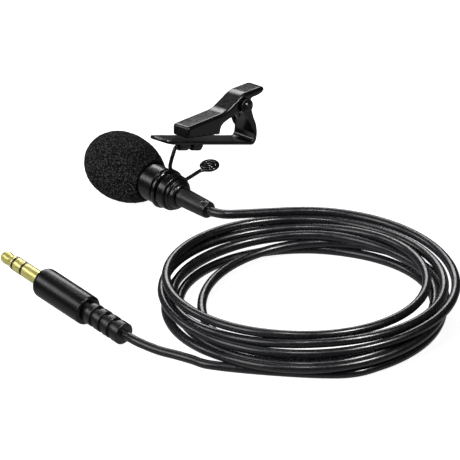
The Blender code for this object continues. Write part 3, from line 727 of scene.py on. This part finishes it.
def clip_base():
    """The lower jaw: a stamped plate with a rounded tongue, a rear wall that curves up to two lugs, and two
    tabs curled round the wire."""
    top = PLATE_BOTTOM + JAW_THICKNESS
    nose = -1.4
    wall_outer = [(25.2, 0.55), (25.9, 1.6), (25.9, 3.4), (25.0, 5.8), (23.3, 7.8)]
    wall_inner = [(22.7, 7.3), (24.2, 5.4), (25.1, 3.3), (25.1, 2.0), (24.6, 1.35)]
    corners = [(nose, PLATE_BOTTOM), *wall_outer, *wall_inner, (nose, top)]
    radii = [0, 0.8, 0.9, 1.2, 1.2, 0.15, 0.15, 1.0, 0.9, 0.7, 0.8, 0]
    made = plate("clip_base_plate", corners, JAW_NEAR, JAW_FAR, 0.22, CLIP_SLOT, CLIP, radii)

    half, centre = (JAW_FAR - JAW_NEAR) / 2, (JAW_FAR + JAW_NEAR) / 2
    length, overlap, edge, dip, steps = 3.5, 0.6, 0.22, 0.03, 28
    bm = bmesh.new()
    layers = []
    for level, by in ((0, edge), (0.06, 0.08), (0.22, 0), (0.58, 0), (0.74, 0.08), (0.8, edge)):
        ring = []
        for k in range(steps + 1):
            angle = math.pi / 2 + math.pi * k / steps
            x, y = math.cos(angle), math.sin(angle)
            place = (nose + (length - by) * x, centre + (half - by) * y, PLATE_BOTTOM + level + 0.4 * x * x)
            ring.append(bm.verts.new(place))
        for side in (-1, 1):
            inside = dip if level < 0.4 else -dip
            place = (nose + overlap, centre + side * (half - by - dip), PLATE_BOTTOM + level + inside)
            ring.append(bm.verts.new(place))
        layers.append(ring)
    close_rings(bm, layers)
    parts = [mesh_object("tongue", bm, CLIP_SLOT, CLIP)]

    lug = []
    for k in range(31):
        angle = math.radians(-25 + 265 * k / 30)
        lug.append((PIVOT[0] + EAR_RADIUS * math.cos(angle), PIVOT[1] + EAR_RADIUS * math.sin(angle)))
    lug += [(21.0, 7.9), (22.9, 6.1), (24.3, 4.3), (25.4, 3.9), (25.0, 5.2)]
    for low in (JAW_NEAR + GAP, JAW_FAR - EAR_THICKNESS):
        high = low + EAR_THICKNESS - GAP
        parts.append(plate("lug", lug, low, high, 0.12, CLIP_SLOT, CLIP))

    along = CLIP @ Matrix.Rotation(math.pi / 2, 4, "Y")
    for start, end in ((0.85, 4.0), (5.2, 8.3)):
        parts.append(round_bar("tab", start, end, 1.05, along, 0.75))
        neck = [(start, -0.1), (end, -0.1), (end, 0.8), (start, 0.8)]
        parts.append(plate("neck", neck, -1.03, 0.8, 0.1, CLIP_SLOT, CLIP, [0.5, 0.5, 0, 0]))
    join(made, *parts)
    crisp(made)
    piece(baked(made), "clip_base", CLIP_SLOT, "lower_jaw")


def clip_lever():
    """The upper jaw and thumb lever, pressed from one sheet, with teeth along both skirts."""
    near, far = JAW_NEAR + EAR_THICKNESS + JAW_GAP, JAW_FAR - EAR_THICKNESS - JAW_GAP
    front_low, teeth_end = (3.6, 1.75), (14.1, 2.9)
    # Each corner's place, its radius, and how soft the sheet's edge is there.
    corners = [
        ((2.9, 4.4), 0.8, 1.0),
        ((14.8, 8.15), 1.3, 1.0),
        ((20.0, 12.8), 1.3, 1.0),
        ((25.6, 14.45), 0.9, 1.0),
        ((26.6, 14.4), 0.6, 1.6),
        ((26.9, 13.7), 0.5, 1.6),
        ((26.3, 12.9), 0.7, 1.4),
        ((25.0, 12.35), 1.2, 0.6),
        ((22.8, 11.75), 0.8, 0.3),
        ((22.3, 10.4), 1.0, 0.2),
        ((21.6, 8.5), 0.8, 0.2),
        ((20.0, 8.4), 0.8, 0.2),
        ((18.9, 8.0), 0.8, 0.2),
        ((15.3, 6.0), 1.2, 0.2),
        ((14.1, 4.9), 0.8, 0.2),
        (teeth_end, 0.2, 0.2),
        (front_low, 0.4, 0.8),
    ]
    places, radii, soft = (list(values) for values in zip(*corners))
    made = plate("clip_lever_sheet", places, near, far, 0.75, CLIP_SLOT, CLIP, radii, soft, 6)

    hollow = [(3.6, 4.0), (14.6, 7.4), (20.3, 12.1), (25.2, 13.6), (25.2, 6.0), (14.0, 0.0), (4.3, 0.0)]
    radii = [0.4, 1.0, 1.0, 0.4, 0, 0, 0]
    channel = plate("channel", hollow, near + SKIN, far - SKIN, 0.25, CLIP_SLOT, CLIP, radii)
    combine(made, channel, "DIFFERENCE")

    teeth = 5
    pitch = (teeth_end[0] - front_low[0] - 0.6) / teeth
    rise = (teeth_end[1] - front_low[1]) / (teeth_end[0] - front_low[0])
    for k in range(teeth):
        u = front_low[0] + 0.75 + pitch * k
        n = front_low[1] + rise * (u - front_low[0])
        notch = [(u, n - 0.6), (u + 0.7 * pitch, n - 0.6), (u + 0.12 * pitch, n + 0.95)]
        combine(made, plate("notch", notch, near - 1, far + 1, 0.0, CLIP_SLOT, CLIP), "DIFFERENCE")
    hole = round_bar("pin_hole", near - 1, far + 1, PIN_RADIUS + GAP, ACROSS)
    combine(made, hole, "DIFFERENCE")
    crisp(made)
    piece(baked(made), "clip_lever", CLIP_SLOT, "upper_jaw")


def clip_pin():
    head, end = 1.25, 0.45
    low, high = JAW_NEAR - GAP, JAW_FAR + GAP
    corners = [
        ((low - end, 0.0), 0.0),
        ((low - end, 0.55), 0.1),
        ((low - end + 0.12, 0.6), 0.05),
        ((low - end + 0.05, 0.85), 0.15),
        ((low - 0.1, head), 0.25),
        ((low, head), 0.05),
        ((low, PIN_RADIUS), 0.0),
        ((high, PIN_RADIUS), 0.0),
        ((high, head), 0.05),
        ((high + 0.1, head), 0.25),
        ((high + end, 0.8), 0.3),
        ((high + end, 0.0), 0.0),
    ]
    made = lathe("clip_rivet", shaped(corners, closed=False), CLIP_SLOT, ACROSS, 40)
    piece(made, "clip_base", CLIP_SLOT, "pivot_pin")

    wire, lower_leg, upper_leg = 0.22, 3.8, 4.4
    radius = PIN_RADIUS + wire + 0.12
    start, end = math.radians(115), math.radians(224.4 + 3 * 360)
    centre, length, steps = (JAW_FAR + JAW_NEAR) / 2, 2.4, 90
    points = []
    for k in range(steps + 1):
        t = k / steps
        angle = start + (end - start) * t
        x, z = PIVOT[0] + radius * math.cos(angle), PIVOT[1] + radius * math.sin(angle)
        points.append(Vector((x, centre + length * (t - 0.5), z)))
    points.insert(0, points[0] - lower_leg * Vector((-math.sin(start), 0, math.cos(start))))
    points.append(points[-1] + upper_leg * Vector((-math.sin(end), 0, math.cos(end))))
    made = tube("clip_spring", [p * MM for p in points], wire * MM, "spring_steel", CLIP, 3)
    piece(made, "clip_lever", "spring_steel", "torsion_spring")


# The plug. Stations run from its tip to the end of its strain relief.
PLUG_TILT = math.radians(4.3)
PLUG_TURN = math.radians(1.7)
PLUG_LENGTH = 43.3
HOUSING_REAR = 30.7
PLUG_REAR = MIC_GROUND + Vector((-48.99, -54.62, 2.72)) * MM
PLUG_AXIS = Vector((-math.sin(PLUG_TURN), -math.cos(PLUG_TURN), -math.tan(PLUG_TILT))).normalized()
PLUG = axis_frame(PLUG_REAR - PLUG_AXIS * PLUG_LENGTH * MM, PLUG_AXIS, UP)
PLUG_PIN_RADIUS = 1.75


def plug():
    pin = PLUG_PIN_RADIUS
    tip_end, ring_start, ring_end, sleeve_start, flange = 4.3, 4.95, 7.4, 8.05, 15.8
    corners = [
        ((0, 0), 0),
        ((0, 1.05), 0.12),
        ((0.25, 1.3), 0.15),
        ((1.0, 1.5), 0.3),
        ((1.5, 1.5), 0.3),
        ((2.7, 1.35), 0.5),
        ((3.7, pin - 0.1), 0.4),
        ((tip_end, pin - 0.04), 0.05),
        ((tip_end, 0.45), 0),
        ((19.8, 0.45), 0),
        ((19.8, 0), 0),
    ]
    shapes = [("plug_tip", shaped(corners, closed=False), "plug_tip_contact")]
    ring = [(ring_start, 0.7), (ring_start, pin), (ring_end, pin)]
    ring += [(ring_end, 1.0), (18.6, 1.0), (18.6, 0.7)]
    shapes.append(("plug_ring", rounded(ring, [0, 0.05, 0.05, 0, 0, 0]), "plug_ring_contact"))
    inner = 1.3 + GAP
    sleeve = [(sleeve_start, inner), (sleeve_start, pin), (flange, pin)]
    sleeve += [(flange, 2.3), (flange + 1.2, 2.3), (flange + 1.2, inner)]
    shapes.append(("plug_sleeve", rounded(sleeve, [0, 0.05, 0, 0.1, 0.1, 0]), "plug_sleeve_contact"))
    for name, profile, node in shapes:
        piece(lathe(name, profile, "gold_plate", PLUG, 64), "microphone", "gold_plate", node)

    band = pin - 0.02
    bands = (
        ("plug_front_band", tip_end, ring_start, 0.45 + GAP, 0.7 - GAP, 19.2, "plug_front_insulator"),
        ("plug_rear_band", ring_end, sleeve_start, 1.0 + GAP, 1.3, 18.0, "plug_rear_insulator"),
    )
    for name, start, end, bore, outer, rear, node in bands:
        profile = [(start + GAP, bore), (start + GAP, band), (end - GAP, band)]
        profile += [(end - GAP, outer), (rear, outer), (rear, bore)]
        made = lathe(name, profile, "insulator_plastic", PLUG, 64)
        piece(made, "microphone", "insulator_plastic", node)

    bore, front, radius = 2.4, 14.0, 3.65
    corners = [
        ((front, pin + GAP), 0.05),
        ((front, 2.9), 0.3),
        ((front + 0.12, 3.2), 0.2),
        ((front + 0.9, radius), 0.8),
        ((HOUSING_REAR - 0.35, radius), 0.5),
        ((HOUSING_REAR, radius - 0.5), 0.25),
        ((HOUSING_REAR, bore), 0.05),
        ((flange - GAP, bore), 0),
        ((flange - GAP, pin + GAP), 0),
    ]
    made = lathe("plug_shell", shaped(corners, steps=6), "plug_plastic", PLUG)
    piece(made, "microphone", "plug_plastic", "plug_housing")

    start = HOUSING_REAR + GAP
    outer, groove = 2.7, 2.15
    relief = [(25.5, 0.0), (25.5, bore - GAP), (start, bore - GAP), (start, groove)]
    ribs, rib, slot = 4, 1.95, 1.15
    station = start + 0.95
    for k in range(ribs):
        end = PLUG_LENGTH if k == ribs - 1 else station + rib
        relief.append((station, groove))
        crown = [(station, groove + 0.1), (station + 0.05, outer), (end - 0.05, outer), (end, groove + 0.1)]
        relief += rounded(crown, 0.5, closed=False, steps=6)
        if k < ribs - 1:
            relief += [(end, groove), (end + slot / 2, groove - 0.06)]
        station = end + slot
    relief += [(PLUG_LENGTH, 1.3), (PLUG_LENGTH, 0.0)]
    made = lathe("plug_sleeve_relief", relief, "dark_rubber", PLUG, 80, 50.0)
    piece(made, "microphone", "dark_rubber", "plug_strain_relief")


# The cord. Its route runs from the microphone through the coil to the plug. The stretches that aren't
# coiled are points measured from under the windscreen's middle, in millimetres.
CABLE_RADIUS = 1.1 * MM
LEAD_ROUTE = [(0.0, -30.4, 8.23), (0.07, -31.63, 8.23), (0.7, -33.22, 8.23), (1.89, -34.76, 8.23)]
TAIL_ROUTE = [
    (-42.95, -75.78, 1.15),
    (-43.5, -72.98, 1.15),
    (-44.9, -68.44, 1.2),
    (-46.9, -64.0, 1.5),
    (-48.72, -58.67, 2.35),
    (-48.95, -56.2, 2.6),
    (-48.99, -54.62, 2.72),
]
# The coil's turns: how far out and how high the cable lies at the far side, the right, the near side and
# the left, as the camera sees them, in millimetres.
TURNS = [
    [(34.3, 8.0), (34.3, 6.3), (31.6, 5.2), (34.1, 5.9)],
    [(30.6, 5.4), (27.5, 7.0), (28.7, 8.2), (33.2, 8.1)],
    [(32.3, 6.5), (31.6, 6.4), (29.8, 7.9), (31.9, 4.1)],
    [(28.6, 3.4), (29.4, 4.6), (33.2, 3.4), (30.2, 2.3)],
    [(28.2, 1.1), (29.6, 2.3), (29.8, 3.2), (25.0, 1.1)],
    [(28.3, 1.2), (31.5, 4.0), (34.4, 3.0), (33.4, 1.1)],
    [(33.0, 2.2), (31.1, 1.1), (34.3, 1.1)],
]
COIL_STEP = 1.2 * MM
COIL_STEPS = 6
SETTLING_ROUNDS = 160


def evenly(points, spacing):
    """The same curve, with its points this far apart."""
    along = np.concatenate([[0], np.cumsum(np.linalg.norm(np.diff(points, axis=0), axis=1))])
    count = round(along[-1] / spacing)
    wanted = np.linspace(0, along[-1], count + 1)
    return np.column_stack([np.interp(wanted, along, points[:, k]) for k in range(3)])


def settled(points, fixed, radius):
    """Moves the cable's points apart until no two stretches lie in each other, and up onto the surface.
    What each point moves is shared with its neighbours along the cable, so that it stays smooth."""
    start = points.copy()
    place = points.copy()
    count = len(points)
    spacing = np.linalg.norm(points[1] - points[0])
    apart = 2 * radius * 1.01
    near = int(3.0 * apart / spacing)
    index = np.arange(count)
    window = np.hanning(23)[1:-1]
    window /= window.sum()
    half = len(window) // 2
    for _ in range(SETTLING_ROUNDS):
        push = np.zeros_like(place)
        gap = place[:, None, :] - place[None, :, :]
        distance = np.sqrt((gap**2).sum(-1))
        first, second = np.nonzero((distance < apart) & (index[:, None] - index[None, :] > near))
        if len(first):
            away = gap[first, second] / np.maximum(distance[first, second], 1e-7)[:, None]
            amount = (apart - distance[first, second])[:, None] * away * 0.5
            shared = np.zeros((count, 1))
            np.add.at(push, first, amount)
            np.add.at(push, second, -amount)
            np.add.at(shared, first, 1)
            np.add.at(shared, second, 1)
            push /= np.maximum(shared, 1)
        place += push
        place[:, 2] = np.maximum(place[:, 2], radius)
        moved = place - start
        moved[fixed] = 0
        padded = np.pad(moved, ((half, half), (0, 0)), mode="edge")
        eased = np.column_stack([np.convolve(padded[:, k], window, "valid") for k in range(3)])
        eased[fixed] = 0
        place = start + moved * 0.4 + eased * 0.6
        place[:, 2] = np.maximum(place[:, 2], radius)
    return place


def wound(turns):
    """The coil's points in order, from its turns' radii and heights at each quarter, eased between."""
    quarters = np.array([place for turn in turns for place in turn]) * MM
    padded = np.vstack([quarters[:1], quarters, quarters[-1:]])
    made = []
    for k in range(len(quarters) - 1):
        before, start, end, after = padded[k : k + 4]
        for step in range(COIL_STEPS):
            t = step / COIL_STEPS
            radius, height = 0.5 * (
                2 * start
                + (end - before) * t
                + (2 * before - 5 * start + 4 * end - after) * t**2
                + (3 * start - before - 3 * end + after) * t**3
            )
            angle = math.radians(90 - 90 * (k + t)) - VIEW_TURN
            made.append(COIL_CENTRE + Vector((radius * math.cos(angle), radius * math.sin(angle), height)))
    return made


def cord_route():
    lead = [MIC_GROUND + Vector(p) * MM for p in LEAD_ROUTE]
    tail = [MIC_GROUND + Vector(p) * MM for p in TAIL_ROUTE]
    return evenly(smooth([*lead, *wound(TURNS), *tail], COIL_STEP), COIL_STEP)


def cord():
    route = cord_route()
    fixed = np.zeros(len(route), bool)
    fixed[:6] = True
    fixed[-14:] = True
    route = settled(route, fixed, CABLE_RADIUS)
    made = tube("cable", route, CABLE_RADIUS, "cable_pvc", Matrix.Identity(4), 5)
    piece(made, "microphone", "cable_pvc", "cable_lead", "cable_coil", "cable_tail")


def cad_looks():
    """The CAD nodes that stay on show take the same materials as the new pieces."""
    for row in frame["record"]["subparts"]:
        for holder_slot in frame["nodes"][row["node"]].material_slots:
            holder_slot.material = LOOKS[row["material_slot"]]


camera()
studio()
cad_looks()
windscreen()
barrel()
holder()
clip_base()
clip_lever()
clip_pin()
plug()
cord()
